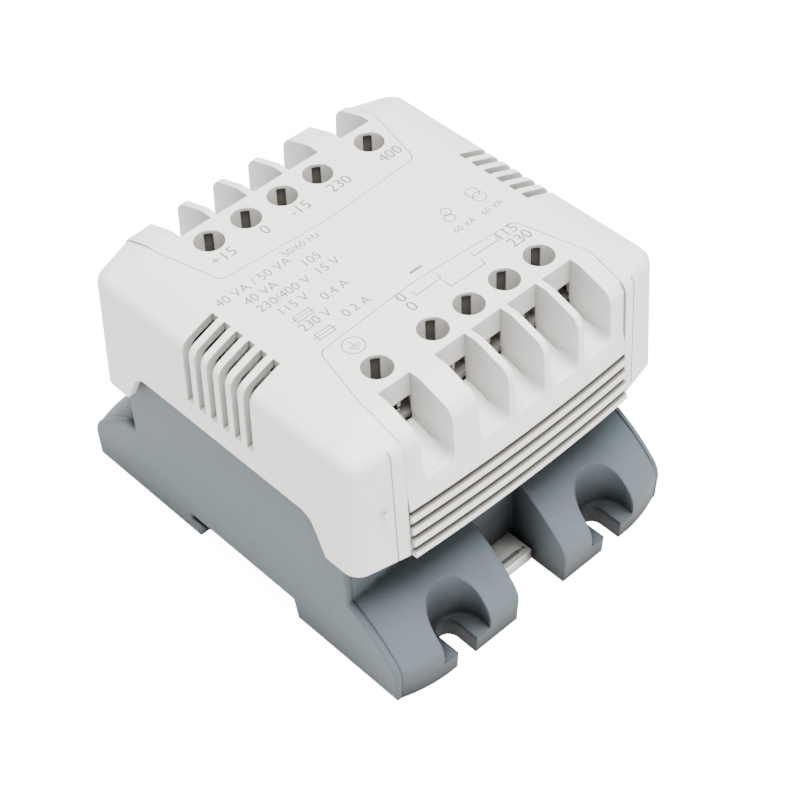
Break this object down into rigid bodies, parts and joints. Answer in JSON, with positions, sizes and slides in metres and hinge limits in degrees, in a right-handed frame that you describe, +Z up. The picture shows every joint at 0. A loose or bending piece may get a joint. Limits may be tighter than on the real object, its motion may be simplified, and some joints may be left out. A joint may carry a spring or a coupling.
{
  "type": "din rail transformer",
  "caption": "Small control transformer in a moulded case: screw terminals on both sides, vented hood, feet for panel screws and a sprung latch for a top-hat rail.",
  "frame": {"origin": "under the middle of the base, on the plane of its soles", "axes": "+Z up from the soles to the hood, X along the rail, -Y towards the earth terminal and the latch"},
  "size_m": [0.0926, 0.112, 0.074],
  "materials": {
    "hood_plastic": "fine spark-eroded",
    "base_plastic": "fine matt",
    "zinc_steel": "zinc plated",
    "spring_steel": "drawn wire",
    "terminal_steel": "zinc plated",
    "tinned_brass": "tinned",
    "core_steel": "oiled sheet edges",
    "winding_copper": "enamelled wire",
    "winding_tape": "polyester tape",
    "bobbin_plastic": "glass-filled"
  },
  "bodies": {
    "housing": {"base_moulding": "base_plastic", "left_side_plate": "base_plastic", "right_side_plate": "base_plastic", "hood": "hood_plastic", "front_terminal_cover": "hood_plastic", "rear_terminal_cover": "hood_plastic", "e_laminations": "core_steel", "i_laminations": "core_steel", "bobbin": "bobbin_plastic", "secondary_winding": "winding_copper", "primary_winding": "winding_copper", "winding_wrap": "winding_tape", "core_frame": "zinc_steel", "left_frame_screw": "zinc_steel", "right_frame_screw": "zinc_steel", "latch_spring": "spring_steel", "front_screw_1": "terminal_steel", "front_screw_2": "terminal_steel", "front_screw_3": "terminal_steel", "front_screw_4": "terminal_steel", "front_screw_5": "terminal_steel", "front_clamp_1": "terminal_steel", "front_clamp_2": "terminal_steel", "front_clamp_3": "terminal_steel", "front_clamp_4": "terminal_steel", "front_clamp_5": "terminal_steel", "front_bar_1": "tinned_brass", "front_bar_2": "tinned_brass", "front_bar_3": "tinned_brass", "front_bar_4": "tinned_brass", "front_bar_5": "tinned_brass", "rear_screw_1": "terminal_steel", "rear_screw_2": "terminal_steel", "rear_screw_3": "terminal_steel", "rear_screw_4": "terminal_steel", "rear_screw_5": "terminal_steel", "rear_clamp_1": "terminal_steel", "rear_clamp_2": "terminal_steel", "rear_clamp_3": "terminal_steel", "rear_clamp_4": "terminal_steel", "rear_clamp_5": "terminal_steel", "rear_bar_1": "tinned_brass", "rear_bar_2": "tinned_brass", "rear_bar_3": "tinned_brass", "rear_bar_4": "tinned_brass", "rear_bar_5": "tinned_brass"},
    "latch": {"rail_latch": "zinc_steel"}
  },
  "joints": [
    {"name": "latch_slide", "type": "slide", "parent": "housing", "child": "latch", "axis": [0, -1, 0], "range_m": [0, 0.0032], "stiffness_N_per_m": 1500, "springref_m": -0.002, "deforming": ["latch_spring"]}
  ]
}
